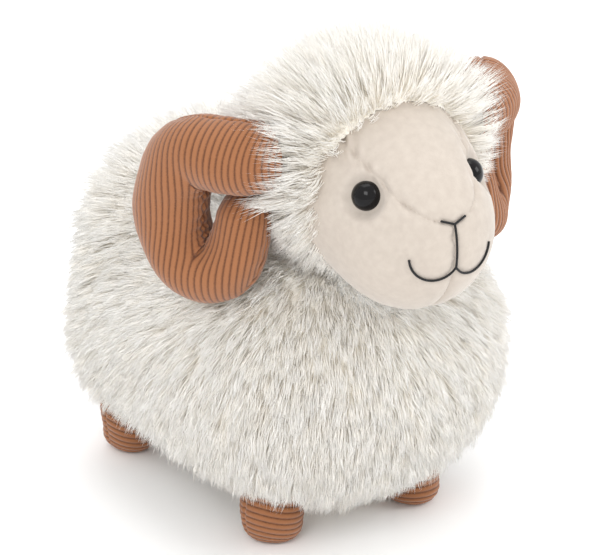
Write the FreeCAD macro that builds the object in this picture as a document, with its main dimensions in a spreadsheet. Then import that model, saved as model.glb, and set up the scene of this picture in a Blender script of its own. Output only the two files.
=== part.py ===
"""Plush ram: a stuffed soft toy with pile-fabric body and hood, velour face, corduroy horns and feet.

Frame: millimetres, +Z up, the face looks along -Y, the ram's own left is +X.
The origin is on the floor, under the middle of the toy's own box.
"""
import FreeCAD, Part

import math
import os

import Sketcher

SHEET = "Sizes"
SIDES = (("left", 1), ("right", -1))
FEET = (("front", "left"), ("front", "right"), ("rear", "left"), ("rear", "right"))
AXIS_X = FreeCAD.Vector(1, 0, 0)
AXIS_Y = FreeCAD.Vector(0, 1, 0)
AXIS_Z = FreeCAD.Vector(0, 0, 1)
UNTURNED = FreeCAD.Rotation()

REACH = 200             # half the span of every box that only cuts
EYE_MARGIN = 8          # how far an eye's bore starts in front of the eye's flat back
POST_POINT = 1          # length of the tapered end of an eye's post
MOULD_GAP = 0.2         # difference in diameter between a washer's bore and the post
THREAD_SINK = 0.3       # share of a thread's width that its middle stands above the velour
ROOT_TURNS = (60, 40, 20, 0)    # degrees still to turn at each ring of a horn's root
ROOT_TAPER = 2          # how much slimmer a root would be after a quarter turn
CURL_STEPS = 9
CROWN_STEP = 3          # the curl keeps its width up to this step
LOWER_STEP = 6          # and has narrowed to its lower width at this one
# The closing rings of a horn's tip: each one's share of the tip's radius, and its reach
# past the curl's end as a share of that radius.
TIP_RINGS = ((0.84, 0.5), (0.5, 0.8), (0.25, 0.9))

# Driving dimensions in millimetres and degrees. The pile lengths are the fluffed-out depth
# of the long fur, which the fur panels include in their thickness.
SIZES = [
    ("pile_body", 16), ("pile_belly", 8), ("pile_head", 15),
    ("fabric", 1.6), ("seam_gap", 0.3), ("swing_gap", 0.6), ("nod_gap", 7), ("turn_gap", 2),
    ("chest_width", 178), ("chest_length", 148), ("chest_height", 154), ("chest_y", -22), ("chest_z", 86),
    ("middle_width", 186), ("middle_length", 212), ("middle_height", 146), ("middle_y", 20), ("middle_z", 82),
    ("haunch_width", 186), ("haunch_length", 134), ("haunch_height", 132), ("haunch_y", 66), ("haunch_z", 75),
    ("rump_width", 166), ("rump_length", 122), ("rump_height", 130), ("rump_y", 72), ("rump_z", 109),
    ("belly_seam_z", 38),
    ("head_radius", 45), ("head_y", -56), ("head_z", 197),
    ("bridge_radius", 43), ("bridge_y", -75), ("bridge_z", 188),
    ("muzzle_radius", 38.5), ("muzzle_y", -94), ("muzzle_z", 178),
    ("face_line_y", -81), ("crown_width", 40),
    ("brow_half_width", 29), ("brow_z", 219), ("bend_half_width", 21), ("bend_z", 202),
    ("nostril_half_width", 11), ("nostril_z", 194.5), ("nose_z", 191.5),
    ("neck_radius", 23), ("neck_bottom_z", 112), ("hood_opening_radius", 31),
    ("eye_diameter", 14), ("eye_dome", 6), ("eye_x", 27), ("eye_y", -99), ("eye_z", 200),
    ("eye_sink", 3.5),
    ("post_diameter", 3.6), ("post_length", 16), ("washer_diameter", 14), ("washer_thick", 1.6),
    ("washer_depth", 4),
    ("thread", 1.1), ("mouth_radius", 12.2), ("mouth_x", 10.2), ("mouth_z", 178), ("mouth_lift", 4),
    ("nostril_x", 6.5), ("nostril_lift", 2.2),
    ("horn_x", 78), ("horn_y", -33), ("horn_z", 180), ("horn_flare", 28),
    ("curl", 258), ("horn_half_length", 19), ("horn_half_height", 30), ("horn_lead", 4),
    ("root_run", 6), ("root_bend", 23),
    ("root_radius", 18), ("crown_radius", 17), ("lower_radius", 14.5), ("tip_radius", 12.5),
    ("horn_play", 6), 
    ("shoulder_half_width", 36), ("shoulder_half_length", 61.2), ("shoulder_half_height", 51),
    ("foot_diameter", 31), ("foot_height", 38), ("foot_rounding", 10),
    ("front_foot_x", 40), ("front_foot_y", -35), ("rear_foot_x", 54), ("rear_foot_y", 88),
]
ALIASES = {alias for alias, _ in SIZES}

document = FreeCAD.newDocument("plush_ram")
sheet = document.addObject("Spreadsheet::Sheet", SHEET)
for row, (alias, value) in enumerate(SIZES, start=1):
    sheet.set("A%d" % row, alias)
    sheet.set("B%d" % row, str(value))
    sheet.setAlias("B%d" % row, alias)
document.recompute()

parts = []


def size(alias):
    """The number in the sheet's cell of that name."""
    return float(sheet.get(alias))


def bind(item, **sizes):
    """Bind properties to formulas of the sheet's names. __ in a name stands for a dot."""
    for name, formula in sizes.items():
        words = formula.split(" ")
        linked = [SHEET + "." + word if word in ALIASES else word for word in words]
        item.setExpression(name.replace("__", "."), " ".join(linked))
    return item


def primitive(kind, name, at, rotation=UNTURNED, **sizes):
    """A Part primitive with its sizes and the three coordinates of its place bound to the sheet."""
    item = document.addObject("Part::" + kind, name)
    item.Placement = FreeCAD.Placement(FreeCAD.Vector(), rotation)
    bind(item, Placement__Base__x=at[0], Placement__Base__y=at[1], Placement__Base__z=at[2], **sizes)
    return item


def ball(name, at, radius):
    return primitive("Sphere", name, at, Radius=radius)


def ellipsoid(name, at, width, length, height):
    """An ellipsoid with half sizes along X, Y and Z. Radius1 is Z, Radius2 is X, Radius3 is Y."""
    return primitive("Ellipsoid", name, at, Radius1=height, Radius2=width, Radius3=length)


def fused(name, pieces):
    item = document.addObject("Part::MultiFuse", name)
    item.Shapes = pieces
    item.Refine = False
    return item


def cut(name, base, tool):
    item = document.addObject("Part::Cut", name)
    item.Base = base
    item.Tool = tool
    item.Refine = False
    return item


def common(name, base, tool):
    item = document.addObject("Part::Common", name)
    item.Base = base
    item.Tool = tool
    item.Refine = False
    return item


def keep(item, label):
    """Make the item a sub-part: its label names its node and its file."""
    item.Label = label
    parts.append(item)
    return item


def slab(name, x=None, y=None, z=None):
    """A box used only for cutting, between two formulas along each axis, or wide open along it."""
    spans = [span or (str(-REACH), str(REACH)) for span in (x, y, z)]
    lengths = ["%s - ( %s )" % (high, low) for low, high in spans]
    return primitive("Box", name, [low for low, _ in spans],
                     Length=lengths[0], Width=lengths[1], Height=lengths[2])


# ---------------------------------------------------------------- body

def body_hull(name, pile):
    """The stuffed body's form: overlapping swellings, drawn in by the given pile depth."""
    swellings = []
    for swelling in ("chest", "middle", "haunch", "rump"):
        at = ("0", swelling + "_y", swelling + "_z")
        swellings.append(ellipsoid(
            "%s_%s" % (name, swelling), at,
            "%s_width / 2 - ( %s )" % (swelling, pile),
            "%s_length / 2 - ( %s )" % (swelling, pile),
            "%s_height / 2 - ( %s )" % (swelling, pile)))
    return fused(name, swellings)


def head_socket(name, radius):
    """The room that the head and its muzzle turn in, at the top of the chest."""
    turning = ball(name + "_ball", ("0", "head_y", "head_z"), radius)
    muzzle = ellipsoid(
        name + "_muzzle", ("0", "muzzle_y", "muzzle_z"),
        "muzzle_radius + nod_gap + turn_gap", "muzzle_radius + nod_gap", "muzzle_radius + nod_gap")
    neck = primitive("Cylinder", name + "_neck", ("0", "head_y", "neck_bottom_z - seam_gap"),
                     Radius="neck_radius + swing_gap", Height="head_z - neck_bottom_z")
    shoulders = []
    for side, sign in SIDES:
        shoulders.append(ellipsoid("%s_horn_%s" % (name, side), ("%d * horn_x" % sign, "horn_y", "horn_z"),
                                   "shoulder_half_width", "shoulder_half_length", "shoulder_half_height"))
    return fused(name, [turning, muzzle, neck] + shoulders)


def foot_place(end, side):
    sign = "1" if side == "left" else "-1"
    return sign + " * %s_foot_x" % end, "%s_foot_y" % end


def foot_sockets(name, growth):
    sockets = []
    for end, side in FEET:
        x, y = foot_place(end, side)
        sockets.append(primitive(
            "Cylinder", "%s_%s_%s" % (name, end, side), (x, y, "-1 * fabric"),
            Radius="foot_diameter / 2 + " + growth, Height="foot_height + fabric + " + growth))
    return fused(name, sockets)


def make_body():
    """Fibre filling inside two side panels and a belly panel of long pile fabric."""
    socket = head_socket("head_socket", "head_radius + pile_head + swing_gap")
    sockets = foot_sockets("foot_sockets", "seam_gap")
    room = fused("body_room", [socket, sockets])
    inner = body_hull("body_inner", "pile_body + seam_gap")
    keep(cut("body_stuffing", inner, room), "body_filling")
    outer = body_hull("body_outer", "0")
    skin = body_hull("body_skin", "pile_body")
    pile = cut("body_pile", outer, skin)
    coat = cut("body_coat", pile, room)
    above = ("belly_seam_z + seam_gap / 2", str(REACH))
    left_half = slab("left_half", x=("seam_gap / 2", str(REACH)), z=above)
    right_half = slab("right_half", x=(str(-REACH), "-1 * seam_gap / 2"), z=above)
    underside = slab("underside", z=("pile_belly", "belly_seam_z - seam_gap / 2"))
    keep(common("coat_left", coat, left_half), "body_fur_left")
    keep(common("coat_right", coat, right_half), "body_fur_right")
    keep(common("coat_belly", coat, underside), "body_fur_belly")


# ---------------------------------------------------------------- feet

def rounded_post(name, x, y, z, radius, height, rounding):
    """An upright round post whose lower edge is rounded."""
    post = primitive("Cylinder", name + "_post", (x, y, z), Radius=radius, Height=height)
    document.recompute()
    lowest = min(range(len(post.Shape.Edges)), key=lambda i: edge_height(post.Shape.Edges[i]))
    fillet = document.addObject("Part::Fillet", name)
    fillet.Base = post
    fillet.Edges = [(lowest + 1, rounding, rounding)]
    return fillet


def edge_height(edge):
    """The height of a closed edge. A straight edge stands on the floor edge, so it counts as higher."""
    return edge.BoundBox.ZMax + edge.BoundBox.ZLength


def make_foot(end, side):
    """A corduroy cup, flat where it stands, with its own fibre filling."""
    name = "foot_%s_%s" % (end, side)
    x, y = foot_place(end, side)
    rounding = size("foot_rounding")
    form = rounded_post(name + "_form", x, y, "0", "foot_diameter / 2", "foot_height", rounding)
    hollow = rounded_post(name + "_hollow", x, y, "fabric", "foot_diameter / 2 - fabric",
                          "foot_height", rounding - size("fabric"))
    filling = rounded_post(name + "_stuffing", x, y, "fabric + seam_gap / 3",
                           "foot_diameter / 2 - fabric - seam_gap / 3",
                           "foot_height - fabric - seam_gap", rounding - size("fabric"))
    keep(cut(name + "_cup", form, hollow), name + "_cover")
    keep(filling, name + "_filling")


# ---------------------------------------------------------------- head

def head_hull(name, inset, lumps=("head", "bridge", "muzzle")):
    """Overlapping balls: the skull, the bridge of the nose and the muzzle."""
    balls = []
    for lump in lumps:
        balls.append(ball("%s_%s" % (name, lump), ("0", lump + "_y", lump + "_z"),
                          "%s_radius - ( %s )" % (lump, inset)))
    return fused(name, balls)


def forehead_prism():
    """Everything above the two face seams, seen from the front."""
    corners = [(1, "brow"), (1, "bend"), (1, "nostril"), (0, "nose"),
               (-1, "nostril"), (-1, "bend"), (-1, "brow")]
    points = []
    for sign, name in corners:
        half_width = size(name + "_half_width") if sign else 0
        points.append(FreeCAD.Vector(sign * half_width, 0, size(name + "_z")))
    top = size("head_z") + size("head_radius") + size("fabric")
    points.append(FreeCAD.Vector(-size("brow_half_width"), 0, top))
    points.insert(0, FreeCAD.Vector(size("brow_half_width"), 0, top))
    outline = document.addObject("Part::Feature", "forehead_outline")
    outline.Shape = Part.makePolygon(points + [points[0]])
    prism = document.addObject("Part::Extrusion", "forehead_prism")
    prism.Base = outline
    prism.DirMode = "Custom"
    prism.Dir = -AXIS_Y
    prism.Solid = True
    bind(prism, LengthFwd="-1 * muzzle_y + muzzle_radius + fabric")
    return prism


def half_span(sign, gap):
    """The X span of one half of the toy, short of the middle plane by a gap."""
    return (gap, str(REACH)) if sign > 0 else (str(-REACH), "-1 * " + gap)


def make_face():
    """Velour forehead gusset and two cheeks that meet under the nose."""
    form = head_hull("face_form", "0")
    lining = head_hull("face_lining", "fabric")
    shell = cut("face_shell", form, lining)
    front = slab("face_front", y=(str(-REACH), "face_line_y"), z=("0", "2 * head_z"))
    mask = common("face_mask", shell, front)
    bores = eye_bores("face_bores", "post_diameter / 2 + seam_gap / 3", "post_length")
    pierced = cut("face_pierced", mask, bores)
    prism = forehead_prism()
    keep(common("forehead", pierced, prism), "face_forehead")
    cheeks = cut("cheeks", pierced, prism)
    for side, sign in SIDES:
        half = slab("cheek_half_" + side, half_span(sign, "seam_gap / 4"), z=("0", "2 * head_z"))
        keep(common("cheek_" + side, cheeks, half), "face_cheek_" + side)


def make_head_filling():
    """The fibre ball of the head and muzzle, hollow only round the eye posts and washers."""
    form = head_hull("head_stuffing", "fabric + seam_gap / 3")
    bores = eye_bores("stuffing_bores", "washer_diameter / 2 + seam_gap", "post_length + seam_gap")
    keep(cut("head_stuffed", form, bores), "head_filling")


def horn_room(side, sign):
    """Balls strung along a horn: the dent that it makes in the hood's pile, with room for its sway."""
    balls = []
    for number, (place, _, radius) in enumerate(horn_path(sign)[0]):
        room = document.addObject("Part::Sphere", "horn_room_%s_%d" % (side, number))
        bind(room, Radius=radius + " + horn_play")
        room.Placement = FreeCAD.Placement(place, UNTURNED)
        balls.append(room)
    return balls


def make_hood():
    """Two side panels and a crown panel of pile fabric, open for the face and the neck."""
    outer = ball("hood_outer", ("0", "head_y", "head_z"), "head_radius + pile_head")
    inner = ball("hood_inner", ("0", "head_y", "head_z"), "head_radius + seam_gap / 3")
    pile = cut("hood_pile", outer, inner)
    front = slab("hood_front", y=(str(-REACH), "face_line_y + seam_gap"), z=("0", "2 * head_z"))
    opening = primitive("Cylinder", "hood_opening", ("0", "head_y", "0"),
                        Radius="hood_opening_radius", Height="head_z")
    balls = []
    for side, sign in SIDES:
        balls += horn_room(side, sign)
    backing = ball("hood_backing", ("0", "head_y", "head_z"), "head_radius + fabric + seam_gap")
    face = head_hull("hood_face_room", "-1 * seam_gap / 3", ("bridge", "muzzle"))
    rooms = cut("horn_rooms", fused("horn_balls", balls), backing)
    hood = cut("hood", pile, fused("hood_room", [front, opening, face, rooms]))
    strip = slab("crown_strip", x=("crown_width / -2", "crown_width / 2"), z=("head_z", "2 * head_z"))
    keep(common("hood_strip", hood, strip), "hood_fur_crown")
    sides = cut("hood_sides", hood, strip)
    for side, sign in SIDES:
        half = slab("hood_half_" + side, half_span(sign, "seam_gap / 2"), z=("0", "2 * head_z"))
        keep(common("hood_" + side, sides, half), "hood_fur_" + side)


def make_neck():
    """The stuffed plug that the head sits on. It turns in the body and cups the head."""
    plug = primitive("Cylinder", "neck_plug", ("0", "head_y", "neck_bottom_z"),
                     Radius="neck_radius", Height="head_z - neck_bottom_z")
    cup = ball("neck_cup", ("0", "head_y", "head_z"), "head_radius - fabric + swing_gap")
    bridge = ball("neck_bridge_room", ("0", "bridge_y", "bridge_z"), "bridge_radius + nod_gap / 2")
    muzzle = ball("neck_muzzle_room", ("0", "muzzle_y", "muzzle_z"), "muzzle_radius + nod_gap")
    keep(cut("neck", plug, fused("neck_room", [cup, bridge, muzzle])), "neck_filling")


# ---------------------------------------------------------------- eyes and stitches

def eye_rotation(sign):
    """Turns +Z to point straight out of the face at an eye."""
    centre = FreeCAD.Vector(0, size("bridge_y"), size("bridge_z"))
    eye = FreeCAD.Vector(sign * size("eye_x"), size("eye_y"), size("eye_z"))
    return FreeCAD.Rotation(AXIS_Z, eye - centre)


def eye_seat(sign):
    """The middle of an eye's flat back: drawn in a little from where its direction leaves the face."""
    centre = FreeCAD.Vector(0, size("bridge_y"), size("bridge_z"))
    outward = eye_rotation(sign).multVec(AXIS_Z)
    reach = 0
    for lump in ("head", "bridge", "muzzle"):
        middle = FreeCAD.Vector(0, size(lump + "_y"), size(lump + "_z"))
        offset = centre - middle
        along = offset.dot(outward)
        square = along * along - offset.dot(offset) + size(lump + "_radius") ** 2
        if square > 0:
            reach = max(reach, math.sqrt(square) - along)
    return centre + outward * (reach - size("eye_sink"))


def eye_bores(name, radius, depth):
    """Straight bores behind both eyes."""
    bores = []
    for side, sign in SIDES:
        bore = document.addObject("Part::Cylinder", "%s_%s" % (name, side))
        bind(bore, Radius=radius, Height="%s + %g" % (depth, EYE_MARGIN))
        document.recompute()
        turn = eye_rotation(sign)
        start = eye_seat(sign) - turn.multVec(AXIS_Z) * (bore.Height.Value - EYE_MARGIN)
        bore.Placement = FreeCAD.Placement(start, turn)
        bores.append(bore)
    return fused(name, bores)


def body_plane(body, role):
    return [plane for plane in body.Origin.OriginFeatures if plane.Role == role][0]


def sketch_on(body, role, name):
    sketch = body.newObject("Sketcher::SketchObject", name)
    sketch.AttachmentSupport = (body_plane(body, role), "")
    sketch.MapMode = "FlatFace"
    return sketch


def make_eye(side, sign):
    """A glossy plastic dome with a ribbed post behind it, turned round its own axis."""
    body = document.addObject("PartDesign::Body", "safety_eye_" + side)
    sketch = sketch_on(body, "XZ_Plane", "eye_profile_" + side)
    radius = size("eye_diameter") / 2
    dome = size("eye_dome")
    post = size("post_diameter") / 2
    length = size("post_length")
    crown = FreeCAD.Vector(0, dome, 0)
    shoulder = FreeCAD.Vector(radius * math.sin(math.pi / 4), dome * math.sin(math.pi / 4), 0)
    taper = FreeCAD.Vector(post, POST_POINT - length, 0)
    corners = [FreeCAD.Vector(radius, 0, 0), FreeCAD.Vector(post, 0, 0), taper,
               FreeCAD.Vector(post / 2, -length, 0), FreeCAD.Vector(0, -length, 0), crown]
    sketch.addGeometry(Part.Arc(crown, shoulder, corners[0]), False)
    for start, end in zip(corners, corners[1:]):
        sketch.addGeometry(Part.LineSegment(start, end), False)
    revolution = body.newObject("PartDesign::Revolution", "eye_turned_" + side)
    revolution.Profile = sketch
    revolution.ReferenceAxis = (sketch, ["V_Axis"])
    revolution.Angle = 360
    body.Placement = FreeCAD.Placement(eye_seat(sign), eye_rotation(sign))
    keep(body, "eye_" + side)


def make_washer(side, sign):
    """The plastic lock washer pushed onto the post inside the head."""
    body = document.addObject("PartDesign::Body", "lock_washer_" + side)
    sketch = sketch_on(body, "XY_Plane", "washer_outline_" + side)
    centre = FreeCAD.Vector()
    rim = sketch.addGeometry(Part.Circle(centre, AXIS_Z, size("washer_diameter") / 2), False)
    bore = sketch.addGeometry(Part.Circle(centre, AXIS_Z, size("post_diameter") / 2), False)
    for circle in (rim, bore):
        sketch.addConstraint(Sketcher.Constraint("Coincident", circle, 3, -1, 1))
    outer = sketch.addConstraint(Sketcher.Constraint("Diameter", rim, size("washer_diameter")))
    inner = sketch.addConstraint(Sketcher.Constraint("Diameter", bore, size("post_diameter") + MOULD_GAP))
    bind(sketch, **{"Constraints[%d]" % outer: "washer_diameter",
                    "Constraints[%d]" % inner: "post_diameter + %g" % MOULD_GAP})
    pad = body.newObject("PartDesign::Pad", "washer_pad_" + side)
    pad.Profile = sketch
    bind(pad, Length="washer_thick")
    turn = eye_rotation(sign)
    depth = size("washer_depth") + size("washer_thick")
    body.Placement = FreeCAD.Placement(eye_seat(sign) - turn.multVec(AXIS_Z) * depth, turn)
    keep(body, "eye_washer_" + side)


def thread_ring(name, facing, start, radius, sweep):
    """Part of a thread ring on the muzzle ball: its axis, the way to its start, its radius and its sweep."""
    reach = size("muzzle_radius") + size("thread") * THREAD_SINK
    height = math.sqrt(max(reach * reach - radius * radius, 0))
    middle = FreeCAD.Vector(0, size("muzzle_y"), size("muzzle_z"))
    ring = bind(document.addObject("Part::Torus", name), Radius2="thread / 2")
    ring.Radius1 = radius
    ring.Angle3 = sweep
    turn = FreeCAD.Rotation(start, facing.cross(start), facing, "ZXY")
    ring.Placement = FreeCAD.Placement(middle + facing * height, turn)
    return ring


def muzzle_way(x, z):
    """The direction from the muzzle's middle to its surface, at a place seen from the front."""
    radius = size("muzzle_radius")
    rise = z - size("muzzle_z")
    depth = math.sqrt(radius * radius - x * x - rise * rise)
    return FreeCAD.Vector(x, -depth, rise).normalize()


def stitch_line(name, start, end):
    """A thread laid the shortest way over the muzzle between two places."""
    first = muzzle_way(*start)
    last = muzzle_way(*end)
    sweep = math.degrees(first.getAngle(last))
    reach = size("muzzle_radius") + size("thread") * THREAD_SINK
    return thread_ring(name, first.cross(last).normalize(), first, reach, sweep)


def smile(name, sign):
    """Half the mouth: a ring's lower part, from under the nose to the cheek."""
    facing = muzzle_way(sign * size("mouth_x"), size("mouth_z"))
    level = (AXIS_X - facing * facing.dot(AXIS_X)).normalize()
    inner = math.degrees(math.acos(size("mouth_x") / size("mouth_radius")))
    outer = size("mouth_lift")
    first = 180 + inner if sign > 0 else 180 + outer
    sweep = 180 - inner - outer
    start = FreeCAD.Rotation(facing, first).multVec(level)
    return thread_ring(name, facing, start, size("mouth_radius"), sweep)


def make_stitches():
    """The embroidered nose and mouth: thread laid on the front of the muzzle."""
    drop = math.sqrt(size("mouth_radius") ** 2 - size("mouth_x") ** 2)
    meeting = (0, size("mouth_z") - drop)
    nose = (0, size("nose_z"))
    line = stitch_line("nose_drop", nose, meeting)
    smiles = [smile("smile_" + side, sign) for side, sign in SIDES]
    keep(fused("mouth_thread", [line] + smiles), "mouth_stitches")
    nostrils = []
    for side, sign in SIDES:
        end = (sign * size("nostril_x"), size("nose_z") + size("nostril_lift"))
        nostrils.append(stitch_line("nostril_" + side, nose, end))
    keep(fused("nose_thread", nostrils), "nose_stitches")


# ---------------------------------------------------------------- horns

def horn_frame(sign):
    """A horn's own directions: backward along it, up, and outward from the head."""
    flare = math.radians(size("horn_flare"))
    backward = FreeCAD.Vector(sign * math.sin(flare), math.cos(flare), 0)
    outward = FreeCAD.Vector(sign * math.cos(flare), -math.sin(flare), 0)
    return backward, AXIS_Z, outward


def horn_path(sign):
    """Points, directions and radius formulas along a horn: a bend out of the head, then the curl."""
    backward, up, outward = horn_frame(sign)
    middle = FreeCAD.Vector(sign * size("horn_x"), size("horn_y"), size("horn_z"))
    middle = middle - backward * size("horn_lead")
    length = size("horn_half_length")
    height = size("horn_half_height")
    bend = size("root_bend")
    top = middle + up * height
    turning = top - backward * size("root_run") - outward * bend
    path = []
    for turn in ROOT_TURNS:
        ahead = math.cos(math.radians(turn))
        aside = math.sin(math.radians(turn))
        place = turning + (outward * ahead - backward * aside) * bend
        radius = "root_radius - %.3f" % (ROOT_TAPER * aside ** 2)
        path.append((place, backward * ahead + outward * aside, radius))
    for step in range(CURL_STEPS + 1):
        turn = math.radians(90 - size("curl") / CURL_STEPS * step)
        place = middle + backward * length * math.cos(turn) + up * height * math.sin(turn)
        heading = backward * length * math.sin(turn) - up * height * math.cos(turn)
        path.append((place, heading.normalize(), horn_radius(step)))
    return path, outward


def horn_radius(step):
    """The radius formula at a step of the curl: wide over the crown, narrow below, slim at the tip."""
    if step <= CROWN_STEP:
        return "crown_radius"
    if step <= LOWER_STEP:
        share = (step - CROWN_STEP) / (LOWER_STEP - CROWN_STEP)
        return "crown_radius * %.3f + lower_radius * %.3f" % (1 - share, share)
    share = (step - LOWER_STEP) / (CURL_STEPS - LOWER_STEP)
    return "lower_radius * %.3f + tip_radius * %.3f" % (1 - share, share)


def horn_sections(sign):
    """Places, directions and radii along a horn, with the rounded tip's rings at the end."""
    path, outward = horn_path(sign)
    end, heading, radius = path[-1]
    for share, reach in TIP_RINGS:
        path.append((end + heading * size("tip_radius") * reach, heading, "( %s ) * %.2f" % (radius, share)))
    return path, outward


def loft_through(name, sections):
    loft = document.addObject("Part::Loft", name)
    loft.Sections = sections
    loft.Solid = True
    loft.Ruled = True
    loft.Closed = False
    return loft


def horn_stuffing(name, sign):
    """The fibre inside a horn: a loft through rings a fabric's thickness inside the cover."""
    path, outward = horn_sections(sign)
    rings = []
    for number, (place, heading, radius) in enumerate(path[:-1]):
        ring = document.addObject("Part::Circle", "%s_ring_%d" % (name, number))
        bind(ring, Radius=radius + " - fabric - seam_gap / 3")
        turn = FreeCAD.Rotation(outward, heading.cross(outward), heading, "ZXY")
        ring.Placement = FreeCAD.Placement(place, turn)
        rings.append(ring)
    return loft_through(name, rings)


def half_ring(name, place, heading, facing, radius):
    """The outline of half a ring of fabric, on the side of the seam plane that facing points to."""
    across = heading.cross(facing)
    thick = min(size("fabric"), radius * 0.6)
    lift = facing * size("seam_gap") / 2
    outer_edge = math.sqrt(radius ** 2 - lift.Length ** 2)
    inner_edge = math.sqrt((radius - thick) ** 2 - lift.Length ** 2)
    corners = [place + lift + across * outer_edge, place + lift - across * outer_edge,
               place + lift - across * inner_edge, place + lift + across * inner_edge]
    edges = [Part.Arc(corners[0], place + facing * radius, corners[1]).toShape(),
             Part.LineSegment(corners[1], corners[2]).toShape(),
             Part.Arc(corners[2], place + facing * (radius - thick), corners[3]).toShape(),
             Part.LineSegment(corners[3], corners[0]).toShape()]
    outline = document.addObject("Part::Feature", name)
    outline.Shape = Part.Wire(edges)
    return outline


def horn_panel(name, sign, facing_sign):
    """One of a horn's two corduroy panels, which meet in seams along its inner and outer curve."""
    path, outward = horn_sections(sign)
    outlines = []
    for number, (place, heading, radius) in enumerate(path):
        facing = (outward - heading * outward.dot(heading)).normalize() * facing_sign
        outline = half_ring("%s_edge_%d" % (name, number), place, heading, facing, worked_out(radius))
        outlines.append(outline)
    return loft_through(name, outlines)


def worked_out(formula):
    """The value of a radius formula, worked out by a ring bound to it."""
    ring = bind(document.addObject("Part::Circle", "radius"), Radius=formula)
    ring.recompute()
    value = ring.Radius.Value
    document.removeObject(ring.Name)
    return value


def make_horn(side, sign):
    """A curled corduroy tube of an outer and an inner panel, with its own filling."""
    name = "horn_%s" % side
    keep(horn_panel(name + "_outer", sign, 1), name + "_outer_panel")
    keep(horn_panel(name + "_inner", sign, -1), name + "_inner_panel")
    keep(horn_stuffing(name + "_stuffing", sign), name + "_filling")


# ---------------------------------------------------------------- build, check, write

def check():
    """Stop if any object failed, or a sub-part's shape is empty, broken or in several pieces."""
    for item in document.Objects:
        if "Invalid" in item.State or "Error" in item.State:
            raise RuntimeError("%s failed: %s" % (item.Name, item.State))
    for item in parts:
        shape = item.Shape
        if shape.isNull() or not shape.isValid() or not shape.Solids:
            raise RuntimeError("%s has no valid solid" % item.Label)
        print("%-24s solids %d volume %9.1f" % (item.Label, len(shape.Solids), shape.Volume))


def write():
    os.makedirs("parts", exist_ok=True)
    for item in parts:
        item.Shape.exportStep("parts/%s.step" % item.Label)


make_body()
for end, side in FEET:
    make_foot(end, side)
make_head_filling()
make_face()
make_hood()
make_neck()
make_stitches()
for side, sign in SIDES:
    make_eye(side, sign)
    make_washer(side, sign)
    make_horn(side, sign)
document.recompute()
check()
write()
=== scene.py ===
"""Looks for the plush ram: long combed pile, velour face, corduroy horns and feet, glossy eyes.

Lengths are millimetres and become metres when a mesh is made. Only bumps and lamps are in metres.
The ram looks along -Y, its own left is +X, and it stands on Z = 0.
"""
import math

import bmesh
import bpy
import numpy as np
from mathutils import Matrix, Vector


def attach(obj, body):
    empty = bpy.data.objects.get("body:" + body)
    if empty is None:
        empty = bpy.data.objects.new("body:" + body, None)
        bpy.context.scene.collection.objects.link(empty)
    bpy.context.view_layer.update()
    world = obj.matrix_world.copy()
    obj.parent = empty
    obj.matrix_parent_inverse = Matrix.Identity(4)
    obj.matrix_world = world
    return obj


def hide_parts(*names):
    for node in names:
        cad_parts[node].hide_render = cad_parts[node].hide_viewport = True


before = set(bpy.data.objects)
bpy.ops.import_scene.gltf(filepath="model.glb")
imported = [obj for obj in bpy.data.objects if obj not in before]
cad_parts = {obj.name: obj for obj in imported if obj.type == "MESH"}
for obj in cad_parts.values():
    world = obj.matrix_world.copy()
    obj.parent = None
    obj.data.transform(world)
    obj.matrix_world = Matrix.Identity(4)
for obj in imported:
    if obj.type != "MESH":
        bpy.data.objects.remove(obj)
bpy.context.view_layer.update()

MM = 0.001
SIDES = (("left", 1), ("right", -1))
UP = np.array([0.0, 0.0, 1.0])
FULL_TURN = 2 * math.pi


# ---------------------------------------------------------------- sizes

# Swellings of the stuffed body with the pile fluffed out: middle, then half width, length and height.
BODY_LUMPS = (
    ((0, -22, 86), (89, 74, 77)),
    ((0, 20, 82), (93, 106, 73)),
    ((0, 66, 75), (93, 67, 66)),
    ((0, 72, 109), (83, 61, 65)),
)
BODY_HEART = (0, 22, 84)
BODY_BLEND = 5.0        # how softly the body's swellings run into each other
HEAD = (0, -56, 197)
HEAD_RADIUS = 45
BRIDGE = (0, -75, 188)
MUZZLE = (0, -94, 178)
# The stuffed head under its fabric: skull, bridge and muzzle.
HEAD_BALLS = ((HEAD, HEAD_RADIUS), (BRIDGE, 43), (MUZZLE, 38.5))
HEAD_HEART = (0, -72, 187)
HEAD_BLEND = 3.0
FACE_LINE_Y = -81       # where the hood ends, level with the skull's middle
FACE_LEAN = 0.14        # how much that line leans back towards the chin
BELLY_SEAM_Z = 38
BODY_PILE = 16
FOOT_RADIUS = 15.5
FOOT_PLACES = (("front", (40, -35)), ("rear", (54, 88)))


# ---------------------------------------------------------------- forms

FARTHEST = 220.0        # farther than any surface is from its form's heart
HALVINGS = 26           # of the search for a surface along a ray
NORMAL_STEP = 0.5
LEAST_SLOPE = 1e-6
LEAST_LENGTH = 1e-9
COARSE = 6              # subdivisions of the sphere that a coat or hood starts from
FINE = 7                # and of the face's


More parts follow.
